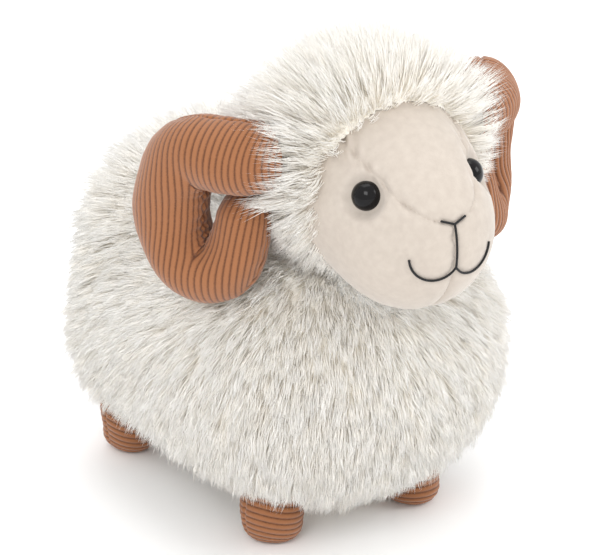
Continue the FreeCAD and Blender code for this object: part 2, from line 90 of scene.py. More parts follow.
class Form:
    """A closed swelling made of blended ellipsoids, seen from a point in its middle."""

    def __init__(self, lumps, heart, blend):
        self.middles = np.array([lump[0] for lump in lumps], float)
        self.radii = np.array([lump[1] for lump in lumps], float)
        self.heart = np.array(heart, float)
        self.blend = blend

    def depth(self, points, growth=0.0):
        """About how far outside the form each point is. Growth moves the form's surface outward."""
        offsets = points[:, None, :] - self.middles
        radii = self.radii + growth
        scaled = np.linalg.norm(offsets / radii, axis=2)
        slope = np.linalg.norm(offsets / radii ** 2, axis=2) / np.maximum(scaled, LEAST_SLOPE)
        away = (scaled - 1) / np.maximum(slope, LEAST_SLOPE)
        nearest = away.min(axis=1, keepdims=True)
        return nearest[:, 0] - self.blend * np.log(np.exp((nearest - away) / self.blend).sum(axis=1))

    def surface(self, ways, growth=0.0):
        """Where rays from the heart along the ways leave the form."""
        near = np.zeros(len(ways))
        far = np.full(len(ways), FARTHEST)
        for _ in range(HALVINGS):
            middle = (near + far) / 2
            outside = self.depth(self.heart + ways * middle[:, None], growth) > 0
            far = np.where(outside, middle, far)
            near = np.where(outside, near, middle)
        return self.heart + ways * far[:, None]

    def normal(self, points, growth=0.0):
        """The way out of the form at each point."""
        slopes = []
        for axis in np.eye(3):
            ahead = self.depth(points + axis * NORMAL_STEP, growth)
            behind = self.depth(points - axis * NORMAL_STEP, growth)
            slopes.append(ahead - behind)
        return unit(np.stack(slopes, axis=1))


def unit(vectors):
    return vectors / np.maximum(np.linalg.norm(vectors, axis=-1, keepdims=True), LEAST_LENGTH)


def ramp(values, start, end):
    """0 before the start, 1 after the end, and even between them."""
    return np.clip((values - start) / (end - start), 0, 1)


def bell(distance, width):
    """1 where the distance is zero, falling away smoothly over the width."""
    return np.exp(-(distance / width) ** 2)


def along_surface(vectors, normals):
    """The part of each vector that lies in the surface."""
    return vectors - normals * (vectors * normals).sum(axis=1, keepdims=True)


def sphere_mesh(detail):
    """Directions and triangles of an icosphere."""
    ball = bmesh.new()
    bmesh.ops.create_icosphere(ball, subdivisions=detail, radius=1.0)
    ways = unit(np.array([vertex.co[:] for vertex in ball.verts]))
    triangles = np.array([[vertex.index for vertex in face.verts] for face in ball.faces])
    ball.free()
    return ways, triangles


BODY = Form(BODY_LUMPS, BODY_HEART, BODY_BLEND)
SKULL = Form([(middle, (radius,) * 3) for middle, radius in HEAD_BALLS], HEAD_HEART, HEAD_BLEND)


# ---------------------------------------------------------------- pieces

def new_piece(name, points, polygons, material, smooth=True):
    """A mesh object from millimetre points and equal-sized polygons."""
    mesh = bpy.data.meshes.new(name)
    polygons = np.asarray(polygons)
    sides = polygons.shape[1]
    mesh.vertices.add(len(points))
    mesh.vertices.foreach_set("co", (np.asarray(points, float) * MM).ravel())
    mesh.loops.add(polygons.size)
    mesh.loops.foreach_set("vertex_index", polygons.ravel())
    mesh.polygons.add(len(polygons))
    mesh.polygons.foreach_set("loop_start", np.arange(len(polygons)) * sides)
    mesh.polygons.foreach_set("loop_total", np.full(len(polygons), sides))
    mesh.polygons.foreach_set("use_smooth", np.full(len(polygons), smooth))
    mesh.update(calc_edges=True)
    mesh.validate()
    mesh.materials.append(material)
    piece = bpy.data.objects.new(name, mesh)
    bpy.context.scene.collection.objects.link(piece)
    return piece


def add_layer(piece, name, values):
    """A UV layer from one pair of numbers for each corner."""
    layer = piece.data.uv_layers.new(name=name)
    layer.data.foreach_set("uv", np.asarray(values, float).ravel())


def compact(points, polygons):
    """Drop the points that no polygon uses. The last result says which were kept."""
    used, renumbered = np.unique(polygons, return_inverse=True)
    return points[used], renumbered.reshape(polygons.shape), used


def stand_for(piece, body, nodes):
    """The piece moves with a body and is shown instead of one or more CAD nodes."""
    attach(piece, body)
    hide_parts(*nodes)


# ---------------------------------------------------------------- materials

BUMP_DETAIL = 4.0
PATCH_DETAIL = 5.0
PATCH_RANGE = (0.3, 0.7)        # the part of the noise over which the two colours mix
WHITE = (1, 1, 1)
# The root's colour is darker and warmer than the tip's: painted warm shade deep in the pile.
PILE_ROOT_SHADE = (0.965, 0.93, 0.86)
PILE_TIP = (0.98, 0.965, 0.935)
PILE_SHADE = (0.97, 0.95, 0.915)        # the darkest lock's share of those colours
PILE_ROOT_END = 0.55    # how far up a strand the root's painted shade has faded out
PILE_SHADER = {
    "Roughness": 0.62, "Specular IOR Level": 0.25, "Sheen Weight": 0.15, "Sheen Roughness": 0.5,
}
NAP_SCALE = 1400
NAP_SHARE = 0.75        # how much the nap roughens the ridges
NAP_RANGE = (0.35, 1.35)
# The grooves' dark colour is painted shade, over the grooves that the mesh already has. The ridges' colour
# is the cloth's own.
GROOVE_SHADE_COLOUR = (0.10, 0.03, 0.009)
RIDGE_COLOUR = (0.315, 0.122, 0.045)
RIDGE_START = 0.8       # the level from which cloth has a ridge's full colour
NAP_BUMP = (0.5, 0.0006)
CORDUROY_SHADER = {"Roughness": 0.85, "Sheen Weight": 0.25}

# Surfaces with fine bumps and soft patches of two colours. A bump is its noise's scale, its strength
# and its distance in metres. Patches are their noise's scale and the two colours.
SPECKLED = {
    "backing": {
        "bump": (900, 0.6, 0.001),
        "patches": (160, (0.93, 0.88, 0.79), (0.97, 0.95, 0.90)),
        "shader": {"Roughness": 0.9, "Sheen Weight": 0.2},
    },
    "velour": {
        "bump": (1500, 0.35, 0.0004),
        "patches": (260, (0.475, 0.415, 0.36), (0.525, 0.465, 0.405)),
        "shader": {"Roughness": 0.85, "Sheen Weight": 0.35, "Sheen Roughness": 0.4},
    },
    "eye_black": {
        "bump": (90, 0.02, 0.0002),
        "patches": (60, (0.004, 0.004, 0.005), (0.007, 0.006, 0.006)),
        "shader": {"Roughness": 0.09, "Specular IOR Level": 0.2},
    },
    "black_thread": {
        "bump": (2500, 0.5, 0.0002),
        "patches": (1200, (0.004, 0.004, 0.0045), (0.010, 0.010, 0.011)),
        "shader": {"Roughness": 0.6, "Specular IOR Level": 0.3, "Sheen Weight": 0.05},
    },
    "fibre": {
        "bump": (700, 0.9, 0.002),
        "patches": (90, (0.78, 0.78, 0.76), (0.9, 0.9, 0.88)),
        "shader": {"Roughness": 0.9, "Sheen Weight": 0.3},
    },
    "washer_plastic": {
        "bump": (400, 0.1, 0.0002),
        "patches": (80, (0.68, 0.68, 0.64), (0.74, 0.74, 0.70)),
        "shader": {"Roughness": 0.45},
    },
    "floor": {
        "bump": (30, 0.02, 0.001),
        "patches": (3, (0.95, 0.95, 0.95), (0.97, 0.97, 0.97)),
        "shader": {"Roughness": 0.8},
    },
}


class Look:
    """A material and its nodes while it is being made."""

    def __init__(self, name):
        self.material = bpy.data.materials.new(name)
        self.material.use_nodes = True
        self.nodes = self.material.node_tree.nodes
        self.links = self.material.node_tree.links
        self.shader = self.nodes["Principled BSDF"]

    def colour(self, source):
        self.links.new(source, self.shader.inputs["Base Color"])

    def layer(self, name):
        """The two numbers of a UV layer."""
        coords = self.nodes.new("ShaderNodeUVMap")
        coords.uv_map = name
        split = self.nodes.new("ShaderNodeSeparateXYZ")
        self.links.new(coords.outputs["UV"], split.inputs[0])
        return split.outputs["X"], split.outputs["Y"]

    def noise(self, scale, detail):
        """Noise in the object's own space."""
        place = self.nodes.new("ShaderNodeTexCoord")
        made = self.nodes.new("ShaderNodeTexNoise")
        made.inputs["Scale"].default_value = scale
        made.inputs["Detail"].default_value = detail
        self.links.new(place.outputs["Object"], made.inputs["Vector"])
        return made.outputs["Fac"]

    def maths(self, operation, *values):
        """The result of a Math node. Each value is a number or another node's result."""
        made = self.nodes.new("ShaderNodeMath")
        made.operation = operation
        for socket, value in zip(made.inputs, values):
            if isinstance(value, bpy.types.NodeSocket):
                self.links.new(value, socket)
            else:
                socket.default_value = value
        return made.outputs[0]

    def blend(self, level, low, high, start=0.0, end=1.0):
        """A colour that goes from low to high as the level goes from start to end."""
        made = self.nodes.new("ShaderNodeValToRGB")
        for element, colour, position in zip(made.color_ramp.elements, (low, high), (start, end)):
            element.color = (*colour, 1)
            element.position = position
        self.links.new(level, made.inputs["Fac"])
        return made.outputs["Color"]

    def bump(self, height, strength, distance):
        made = self.nodes.new("ShaderNodeBump")
        made.inputs["Strength"].default_value = strength
        made.inputs["Distance"].default_value = distance
        self.links.new(height, made.inputs["Height"])
        self.links.new(made.outputs["Normal"], self.shader.inputs["Normal"])

    def done(self, settings):
        """The material, with the shader's own sockets set."""
        for socket, value in settings.items():
            self.shader.inputs[socket].default_value = value
        return self.material


def speckled(name):
    """A material with fine bumps and soft patches of two colours."""
    parts = SPECKLED[name]
    look = Look(name)
    scale, strength, distance = parts["bump"]
    look.bump(look.noise(scale, BUMP_DETAIL), strength, distance)
    scale, low, high = parts["patches"]
    look.colour(look.blend(look.noise(scale, PATCH_DETAIL), low, high, *PATCH_RANGE))
    return look.done(parts["shader"])


def pile_material():
    """Pile strands: darker and warmer at the root, a painted warm shade deep in the pile, and a little
    varied from lock to lock.
    """
    look = Look("long_pile")
    lock, along = look.layer("OFBake")
    mix = look.nodes.new("ShaderNodeMix")
    mix.data_type = "RGBA"
    mix.blend_type = "MULTIPLY"
    mix.inputs["Factor"].default_value = 1.0
    # The ramp from root to tip paints warm shade deep in the pile.
    look.links.new(look.blend(along, PILE_ROOT_SHADE, PILE_TIP, end=PILE_ROOT_END), mix.inputs["A"])
    look.links.new(look.blend(lock, PILE_SHADE, WHITE), mix.inputs["B"])
    look.colour(mix.outputs["Result"])
    return look.done(PILE_SHADER)


def corduroy_material():
    """Corduroy: light napped ridges, and dark grooves whose colour is painted shade, read from the Wale
    layer.
    """
    look = Look("corduroy")
    wales, _ = look.layer("Wale")
    height = look.maths("ABSOLUTE", look.maths("COSINE", look.maths("MULTIPLY", wales, math.pi)))
    nap_and_ridges = look.maths("MULTIPLY_ADD", look.noise(NAP_SCALE, BUMP_DETAIL), NAP_SHARE, height)
    level = look.nodes.new("ShaderNodeMapRange")
    level.inputs["From Min"].default_value = NAP_RANGE[0]
    level.inputs["From Max"].default_value = NAP_RANGE[1]
    look.links.new(nap_and_ridges, level.inputs["Value"])
    # Low in the grooves the colour darkens: painted shade. The nap's noise adds a random tone.
    look.colour(look.blend(level.outputs["Result"], GROOVE_SHADE_COLOUR, RIDGE_COLOUR, end=RIDGE_START))
    look.bump(nap_and_ridges, *NAP_BUMP)
    return look.done(CORDUROY_SHADER)


# ---------------------------------------------------------------- pile

STRAND_RINGS = 3        # rings of points along a strand, before its tip
STRAND_CORNERS = 3      # points in a ring
STRAND_POINTS = STRAND_RINGS * STRAND_CORNERS + 1
STRAND_FACES = (2 * STRAND_RINGS - 1) * STRAND_CORNERS
PIECE_FACES = 195000    # the most triangles in one mesh of pile
LOCK_LEAN = (0.10, 0.16)        # how much locks differ in direction, at their start and end
STRAND_LEAN = (0.10, 0.14)      # and the strands of one lock
LOCK_LENGTHS = (0.82, 1.12)
STRAND_LENGTHS = (0.78, 1.05)
STRAND_WIDTHS = (0.7, 1.2)
CLUMPING = (0.55, 1.0)
CLUMP_POWER = 1.3       # how late along a lock its strands draw together
WAVE_TURNS = 5.0        # radians of wave along a strand
TAPER = 0.75
TAPER_POWER = 1.5
SHADE_SPREAD = 0.12     # how much the strands of one lock differ in shade
SHADE_ENDS = (0.01, 0.99)
TRIAL_ROOTS = 10


class Pile:
    """Locks of long pile growing from points of a fabric."""

    def __init__(self, seed, strands, spread, width, clump, frizz):
        self.dice = np.random.default_rng(seed)
        self.strands = strands
        self.spread = spread
        self.width = width
        self.clump = clump
        self.frizz = frizz

    def jitter(self, count, size=1.0):
        return self.dice.normal(0, size, (count, 3))

    def build(self, roots, normals, first, last, lengths):
        """Strand points, triangles and colour coordinates from lock roots and their two directions."""
        locks = len(roots)
        owner = np.repeat(np.arange(locks), self.strands)
        count = len(owner)
        first = unit(first + self.jitter(locks, LOCK_LEAN[0]))
        last = unit(last + self.jitter(locks, LOCK_LEAN[1]))
        lock_length = lengths * self.dice.uniform(*LOCK_LENGTHS, locks)
        shift = self.spread_out(normals, owner)
        length = lock_length[owner] * self.dice.uniform(*STRAND_LENGTHS, count)
        start = unit(first[owner] + self.jitter(count, STRAND_LEAN[0]))
        finish = unit(last[owner] + self.jitter(count, STRAND_LEAN[1]))
        clump = self.clump * self.dice.uniform(*CLUMPING, count)
        wave = self.dice.uniform(0, FULL_TURN, count)
        wave_way = unit(np.cross(start, self.jitter(count)))
        line = []
        for step in np.linspace(0, 1, STRAND_RINGS + 1):
            own = curve_at(start, finish, length, step) + shift
            shared = curve_at(first, last, lock_length, step)[owner]
            pull = (clump * step ** CLUMP_POWER)[:, None]
            sway = np.sin(wave + WAVE_TURNS * step) * self.frizz * step
            line.append(roots[owner] + own * (1 - pull) + shared * pull + wave_way * sway[:, None])
        return self.skin(np.stack(line, axis=1), owner)

    def spread_out(self, normals, owner):
        """How far each strand's root is from its lock's middle."""
        sideways = unit(np.cross(normals, self.jitter(len(normals))))
        across = np.cross(normals, sideways)
        around = self.dice.uniform(0, FULL_TURN, len(owner))
        reach = self.spread * np.sqrt(self.dice.uniform(0, 1, len(owner)))
        shift = sideways[owner] * (np.cos(around) * reach)[:, None]
        return shift + across[owner] * (np.sin(around) * reach)[:, None]

    def skin(self, line, owner):
        """Tapering tubes along the strand lines."""
        count = len(line)
        along = unit(line[:, -1] - line[:, 0])
        side_a = unit(np.cross(along, self.jitter(count)))
        side_b = np.cross(along, side_a)
        width = self.width * self.dice.uniform(*STRAND_WIDTHS, count)
        rings = []
        for ring in range(STRAND_RINGS):
            taper = 1 - TAPER * (ring / STRAND_RINGS) ** TAPER_POWER
            for corner in range(STRAND_CORNERS):
                angle = FULL_TURN * corner / STRAND_CORNERS
                offset = side_a * math.cos(angle) + side_b * math.sin(angle)
                rings.append(line[:, ring] + offset * (width * taper / 2)[:, None])
        rings.append(line[:, -1])
        points = np.stack(rings, axis=1).reshape(-1, 3)
        pattern, heights = strand_pattern()
        triangles = (np.arange(count)[:, None, None] * STRAND_POINTS + pattern).reshape(-1, 3)
        return points, triangles, self.colour(owner, heights)

    def colour(self, owner, heights):
        """Each corner's shade, which its lock mostly sets, and its height along the strand."""
        shade = self.dice.uniform(0, 1, owner.max() + 1)[owner]
        shade = np.clip(shade + self.dice.normal(0, SHADE_SPREAD, len(owner)), *SHADE_ENDS)
        colour = np.empty((len(owner), len(heights), 2))
        colour[:, :, 0] = shade[:, None]
        colour[:, :, 1] = np.clip(heights, *SHADE_ENDS)
        return colour.reshape(-1, 2)


def strand_pattern():
    """The triangles of one strand, and how far along it each of their corners is."""
    pattern = []
    heights = []
    for ring in range(STRAND_RINGS):
        here = ring / STRAND_RINGS
        above = (ring + 1) / STRAND_RINGS
        for corner in range(STRAND_CORNERS):
            low = ring * STRAND_CORNERS + corner
            beside = ring * STRAND_CORNERS + (corner + 1) % STRAND_CORNERS
            if ring == STRAND_RINGS - 1:
                pattern.append((low, beside, STRAND_POINTS - 1))
                heights.append((here, here, 1.0))
            else:
                pattern.append((low, beside, beside + STRAND_CORNERS))
                heights.append((here, here, above))
                pattern.append((low, beside + STRAND_CORNERS, low + STRAND_CORNERS))
                heights.append((here, above, above))
    return np.array(pattern), np.array(heights).ravel()


def curve_at(start, finish, length, step):
    """A point of a bending strand, relative to its root."""
    half = (length / 2)[:, None]
    bend = start * half
    tip = bend + finish * half
    return 2 * step * (1 - step) * bend + step ** 2 * tip


def pile_pieces(name, grown, body, panel, fur):
    """Split grown pile into meshes of a workable size, each riding on its body."""
    points, triangles, colour = grown
    strands = len(triangles) // STRAND_FACES
    parts = max(1, math.ceil(len(triangles) / PIECE_FACES))
    for part in range(parts):
        low = strands * part // parts * STRAND_FACES
        high = strands * (part + 1) // parts * STRAND_FACES
        local, faces, _ = compact(points, triangles[low:high])
        piece = new_piece("%s_pile_%d" % (name, part + 1), local, faces, fur)
        add_layer(piece, "OFBake", colour[low * 3:high * 3])
        stand_for(piece, body, [panel])


def backing_piece(name, points, triangles, body, nodes, backing):
    """The short pile that a panel's locks grow from. Gives its own points and triangles."""
    ground, faces, _ = compact(points, triangles)
    under = new_piece(name + "_backing", ground, faces, backing)
    stand_for(under, body, nodes)
    return ground, faces


def lock_roots(ground, faces, lock_area, seed):
    """Random places on a backing, one to each lock_area. A few trial ones measure its area."""
    dice = np.random.default_rng(seed)
    _, area = scatter(ground, faces, TRIAL_ROOTS, dice)
    roots, _ = scatter(ground, faces, int(area / lock_area), dice)
    return roots


def scatter(points, triangles, count, dice):
    """Evenly spread random places on a triangle mesh, and the mesh's area."""
    corners = points[triangles]
    edges = corners[:, 1] - corners[:, 0], corners[:, 2] - corners[:, 0]
    areas = np.linalg.norm(np.cross(*edges), axis=1) / 2
    share = (np.arange(count) + dice.uniform(0, 1, count)) / count
    chosen = np.searchsorted(np.cumsum(areas) / areas.sum(), share).clip(0, len(triangles) - 1)
    first, second = dice.uniform(0, 1, (2, count))
    flip = first + second > 1
    first = np.where(flip, 1 - first, first)
    second = np.where(flip, 1 - second, second)
    places = corners[chosen, 0] + edges[0][chosen] * first[:, None] + edges[1][chosen] * second[:, None]
    return places, areas.sum()


# ---------------------------------------------------------------- body coat

COAT_SEED = 11
UNDERCOAT = 9.5         # height of the coat's backing over the stuffed body
COAT_GROWTH = UNDERCOAT - BODY_PILE
COAT_LOCK_AREA = 17.0
BARE_UNDERSIDE_Z = 20   # the belly below this keeps only its short backing pile
REAR_COMB = 0.75        # how much the pile is combed to the rear, and over which part of the body
REAR_COMB_RANGE = (-40, 50)
SIDE_COMB = 0.15
COAT_START = (0.8, 0.55)        # how much a lock starts outward and along the comb
COAT_END_LIFT = 0.28
COAT_TOP_LIFT = 0.35    # more lift where the coat faces up
COAT_DROOP = 0.25       # and how much the other locks hang
COAT_LENGTH = 19.5
LOW_COAT_Z = 45         # locks that grow below this are shorter
LOW_COAT_LENGTH = 15.0
RUMP_LENGTH = 7         # extra length on the rump
RUMP_LIFT = 0.5
RUMP_HEIGHTS = (120, 150)
RUMP_PLACES = (30, 60)
COAT_ROOT_DEPTH = 1.5
COAT_PILE = {"strands": 16, "spread": 3.9, "width": 0.55, "clump": 0.6, "frizz": 1.0}
FLOOR_GAP = 2.5
HEAD_GAP = 3
FOOT_GAP = 1
FOOT_TOP_Z = 40


def make_body(fur, backing):
    """The coat's two side panels and its belly."""
    ways, triangles = sphere_mesh(COARSE)
    points = BODY.surface(ways, COAT_GROWTH)
    middles = points[triangles].mean(axis=1)
    above = middles[:, 2] > BELLY_SEAM_Z
    left = middles[:, 0] > 0
    zones = (("left", above & left), ("right", above & ~left), ("belly", ~above))
    for seed, (name, zone) in enumerate(zones, start=COAT_SEED):
        coat_panel(name, points, triangles[zone], seed, fur, backing)


def coat_panel(name, points, triangles, seed, fur, backing):
    """The backing and the locks of one panel of the coat."""
    piece = "coat_" + name
    panel = "body_fur_" + name
    ground, faces = backing_piece(piece, points, triangles, "body", [panel, "body_filling"], backing)
    roots = lock_roots(ground, faces, COAT_LOCK_AREA, seed)
    roots = roots[~blocked(roots) & (roots[:, 2] > BARE_UNDERSIDE_Z)]
    normals = BODY.normal(roots, COAT_GROWTH)
    comb = coat_comb(roots, normals)
    top = np.clip(normals[:, 2], 0, 1)
    rump = ramp(roots[:, 2], *RUMP_HEIGHTS) * ramp(roots[:, 1], *RUMP_PLACES)
    first = normals * COAT_START[0] + comb * COAT_START[1]
    last = normals * (COAT_END_LIFT + COAT_TOP_LIFT * top)[:, None] + comb
    last[:, 2] -= COAT_DROOP * (1 - top)
    last += normals * (RUMP_LIFT * rump)[:, None]
    lengths = np.where(roots[:, 2] < LOW_COAT_Z, LOW_COAT_LENGTH, COAT_LENGTH) + RUMP_LENGTH * rump
    pile = Pile(seed, **COAT_PILE)
    grown = pile.build(roots - normals * COAT_ROOT_DEPTH, normals, unit(first), unit(last), lengths)
    grown[0][:, 2] = np.maximum(grown[0][:, 2], FLOOR_GAP)
    pile_pieces(piece, grown, "body", panel, fur)


def coat_comb(points, normals):
    """Which way the coat is combed: down, to the rear away from the chest, and a little outward."""
    comb = np.zeros_like(points)
    comb[:, 0] = np.sign(points[:, 0]) * SIDE_COMB
    comb[:, 1] = ramp(points[:, 1], *REAR_COMB_RANGE) * REAR_COMB
    comb[:, 2] = -1
    return unit(along_surface(comb, normals))


def blocked(points):
    """Where no locks grow: under the head and inside the feet."""
    covered = np.linalg.norm(points - np.array(HEAD), axis=1) < HEAD_RADIUS + HEAD_GAP
    for _, _, (x, y) in feet():
        near = np.hypot(points[:, 0] - x, points[:, 1] - y) < FOOT_RADIUS - FOOT_GAP
        covered |= near & (points[:, 2] < FOOT_TOP_Z)
    return covered


def feet():
    """Each foot's end, its side and the place of its middle."""
    for end, (aside, along) in FOOT_PLACES:
        for side, sign in SIDES:
            yield end, side, (sign * aside, along)


# ---------------------------------------------------------------- hood

HOOD_SEED = 21
HOOD_LIFT = 1.5         # the hood's backing over the skull
HOOD_LOCK_AREA = 8.0
HOOD_ROOT_DEPTH = 2
HOOD_START = 3          # where the hood starts behind the face's line
RIM_END = 10            # and where its rim ends
NECK_RADIUS = 24
CROWN_HALF_WIDTH = 20
HOOD_COMB_FROM = (0.0, -125.0, 188.0)
HOOD_PILE = {"strands": 11, "spread": 2.8, "width": 0.46, "clump": 0.55, "frizz": 1.0}
HOOD_FIRST_COMB = 0.25
HOOD_LAST = (0.75, 0.65)        # how much a lock ends outward and along the comb
RIM_TURN = 0.75         # how much the rim's locks lean over the face instead
HOOD_DROOP = 0.7
HOOD_HALF_HEIGHT = 40
RIM_LENGTH = 12
HOOD_LENGTH = 7         # extra length away from the rim, and more of it on the crown
CROWN_LENGTH = 10
LENGTH_RUN = 12
HORN_ROOT = (48.0, -54.0, 210.0)
OVER_HORN_LENGTH = 9
OVER_HORN_RANGE = (34, 20)      # distances from the left horn's root
OVER_HORN_LIFT = 0.1


def make_hood(fur, backing):
    """The hood's crown and its two sides, open for the face and the neck."""
    ways, triangles = sphere_mesh(COARSE)
    points = np.array(HEAD, float) + ways * (HEAD_RADIUS + HOOD_LIFT)
    middles = points[triangles].mean(axis=1)
    upper = middles[:, 2] > HEAD[2]
    neck = (np.hypot(middles[:, 0], middles[:, 1] - HEAD[1]) < NECK_RADIUS) & ~upper
    hood = (middles[:, 1] > face_edge(middles) + HOOD_START) & ~neck
    crown = (np.abs(middles[:, 0]) < CROWN_HALF_WIDTH) & upper
    left = middles[:, 0] > 0
    zones = (("crown", crown), ("left", ~crown & left), ("right", ~crown & ~left))
    for seed, (name, zone) in enumerate(zones, start=HOOD_SEED):
        hood_panel(name, points, triangles[zone & hood], seed, fur, backing)


def hood_panel(name, points, triangles, seed, fur, backing):
    """The backing and the locks of one panel of the hood."""
    piece = "hood_" + name
    panel = "hood_fur_" + name
    ground, faces = backing_piece(piece, points, triangles, "head", [panel], backing)
    roots = lock_roots(ground, faces, HOOD_LOCK_AREA, seed)
    normals = unit(roots - np.array(HEAD, float))
    pile = Pile(seed, **HOOD_PILE)
    first, last, lengths = hood_locks(roots, normals)
    grown = pile.build(roots - normals * HOOD_ROOT_DEPTH, normals, unit(first), unit(last), lengths)
    pile_pieces(piece, grown, "head", panel, fur)


def hood_locks(roots, normals):
    """The two directions and the length of each of the hood's locks."""
    comb = hood_comb(roots, normals)
    behind = roots[:, 1] - face_edge(roots)
    rim = 1 - ramp(behind, HOOD_START, RIM_END)[:, None]
    as_left = np.column_stack([np.abs(roots[:, 0]), roots[:, 1:]])
    over_horn = ramp(np.linalg.norm(as_left - HORN_ROOT, axis=1), *OVER_HORN_RANGE)
    outward = np.sign(roots[:, 0])
    first = normals + comb * (HOOD_FIRST_COMB - RIM_TURN * rim)
    last = normals * HOOD_LAST[0] + comb * (HOOD_LAST[1] - RIM_TURN * rim)
    last[:, 0] += over_horn * outward
    last[:, 2] += over_horn * OVER_HORN_LIFT * (1 + outward)    # the left side's locks only
    last[:, 2] -= HOOD_DROOP * ramp(HEAD[2] - roots[:, 2], 0, HOOD_HALF_HEIGHT)
    high = ramp(roots[:, 2] - HEAD[2], 0, HOOD_HALF_HEIGHT)
    longer = (HOOD_LENGTH + CROWN_LENGTH * high) * ramp(behind, 0, LENGTH_RUN)
    return first, last, RIM_LENGTH + longer + OVER_HORN_LENGTH * over_horn


def hood_comb(points, normals):
    """The hood is combed away from the muzzle."""
    return unit(along_surface(unit(points - np.array(HOOD_COMB_FROM)), normals))


def face_edge(points):
    """How far forward the hood reaches at each place: a line that leans back towards the chin."""
    return FACE_LINE_Y + (HEAD[2] - points[:, 2]) * FACE_LEAN


# ---------------------------------------------------------------- face

FACE_FRONT = 0.35       # the skin is made in directions with a smaller Y than this
FACE_TUCK = 16          # how far the velour goes on under the hood
# Heights up the forehead panel, and half its width at each, seen from the front. Below 0 is no panel.
FOREHEAD_HEIGHTS = (150.0, 191.5, 194.5, 202.0, 219.0, 260.0)
FOREHEAD_WIDTHS = (-10.0, 0.0, 11.0, 21.0, 29.0, 33.0)
BROW_SEAM_Y = -60       # the forehead's seams are in front of this
BROW_SLANT = 0.75       # distance across such a seam, for each millimetre seen from the front
CHIN_SEAM_Z = 190
NO_SEAM = 50            # a distance that no seam's groove reaches
SEAM_GROOVES = ((1.0, 0.8), (0.8, 3.5))         # depth and width of the stitched line and its dip
PUCKERS = (0.75, 3.2)
PUCKER_WAVES = (1.1, 1.3)
MOUTH_GROOVE = (0.5, 2.0)
MOUTH_MIDDLE = (10.2, 178)
MOUTH_RADIUS = 12.2
MOUTH_FRONT_Y = -110
EYE_TOWARDS = (27.0, -99.0, 200.0)      # the eye looks this way from the middle of the bridge
EYE_SINK = 3.5          # how far its flat back is below the skin
EYE_RADIUS = 7
EYE_REACH = 13.0        # how far the velour is drawn in round an eye
EYE_LIP = 1.0           # how far it stays proud of the eye's flat back
SOCKET_DEPTH = 8


def make_face(velour):
    """Forehead panel and two cheeks from one fine skin, drawn in along their seams."""
    ways, triangles = sphere_mesh(FINE)
    keep = (ways[:, 1] < FACE_FRONT)[triangles].all(axis=1)
    ways, triangles, _ = compact(ways, triangles[keep])
    skin = SKULL.surface(ways)
    normals = SKULL.normal(skin)
    relief = face_relief(skin)
    points = draw_in_eyes(skin) - normals * relief[:, None]
    middles = points[triangles].mean(axis=1)
    shown = middles[:, 1] < face_edge(middles) + FACE_TUCK
    forehead = np.abs(middles[:, 0]) < forehead_half_width(middles[:, 2])
    left = middles[:, 0] > 0
    zones = (("forehead", forehead), ("cheek_left", ~forehead & left), ("cheek_right", ~forehead & ~left))
    for name, zone in zones:
        local, faces, _ = compact(points, triangles[zone & shown])
        piece = new_piece(name, local, faces, velour)
        stand_for(piece, "head", ["face_" + name, "head_filling"])


def face_relief(points):
    """How deep the seams and the mouth draw the velour in, and where it puckers up instead."""
    aside = np.abs(points[:, 0]) - forehead_half_width(points[:, 2])
    brow_seam = np.where(points[:, 1] < BROW_SEAM_Y, np.abs(aside) * BROW_SLANT, NO_SEAM)
    chin_seam = np.where(points[:, 2] < CHIN_SEAM_Z, np.abs(points[:, 0]), NO_SEAM)
    seam = np.minimum(brow_seam, chin_seam)
    groove = sum(depth * bell(seam, width) for depth, width in SEAM_GROOVES)
    groove = groove + MOUTH_GROOVE[0] * bell(mouth_distance(points), MOUTH_GROOVE[1])
    wave = points[:, 2] * PUCKER_WAVES[0] - points[:, 1] * PUCKER_WAVES[1]
    return groove - PUCKERS[0] * np.sin(wave) * bell(brow_seam, PUCKERS[1])


def forehead_half_width(heights):
    return np.interp(heights, FOREHEAD_HEIGHTS, FOREHEAD_WIDTHS)


def mouth_distance(points):
    """How far each place on the muzzle is from the smile, seen from the front."""
    aside = np.abs(points[:, 0]) - MOUTH_MIDDLE[0]
    rise = points[:, 2] - MOUTH_MIDDLE[1]
    off_curve = np.abs(np.hypot(aside, np.minimum(rise, 0)) - MOUTH_RADIUS)
    return off_curve + np.maximum(points[:, 1] - MOUTH_FRONT_Y, 0) + np.maximum(rise, 0)


def draw_in_eyes(points):
    """The face's skin with a soft socket round each eye."""
    for _, sign in SIDES:
        axis, seat = eye_axis(sign)
        offset = points - seat
        level = offset @ axis
        aside = np.linalg.norm(offset - axis * level[:, None], axis=1)
        socket = ramp(aside, EYE_REACH, EYE_RADIUS)
        smooth = socket ** 2 * (3 - 2 * socket)
        dip = np.clip(level - EYE_LIP, 0, SOCKET_DEPTH) * smooth
        points = points - axis * dip[:, None]
    return points


def eye_axis(sign):
    """An eye's outward direction and the middle of its flat back, as in the CAD."""
    bridge = np.array(BRIDGE, float)
    axis = unit(np.array(EYE_TOWARDS) * (sign, 1, 1) - bridge)
    outermost = 0.0
    for middle, radius in HEAD_BALLS:
        offset = bridge - np.array(middle)
        along = offset @ axis
        square = along ** 2 - offset @ offset + radius ** 2
        if square > 0:
            outermost = max(outermost, math.sqrt(square) - along)
    return axis, bridge + axis * (outermost - EYE_SINK)


# ---------------------------------------------------------------- corduroy tubes

WALE = 3.1              # from one corduroy ridge to the next
WALE_RISE = 0.6         # height of a ridge over its groove
RIDGE_POWER = 0.55      # under 1, the ridges are wide and the grooves narrow
AROUND = 216            # points round a tube
TUBE_STEP = 0.55        # from one ring of a tube to the next
THIN_TUBE = 6           # a thinner tube than this has lower ridges
THIN_PANEL = 8          # and than this, shallower dents


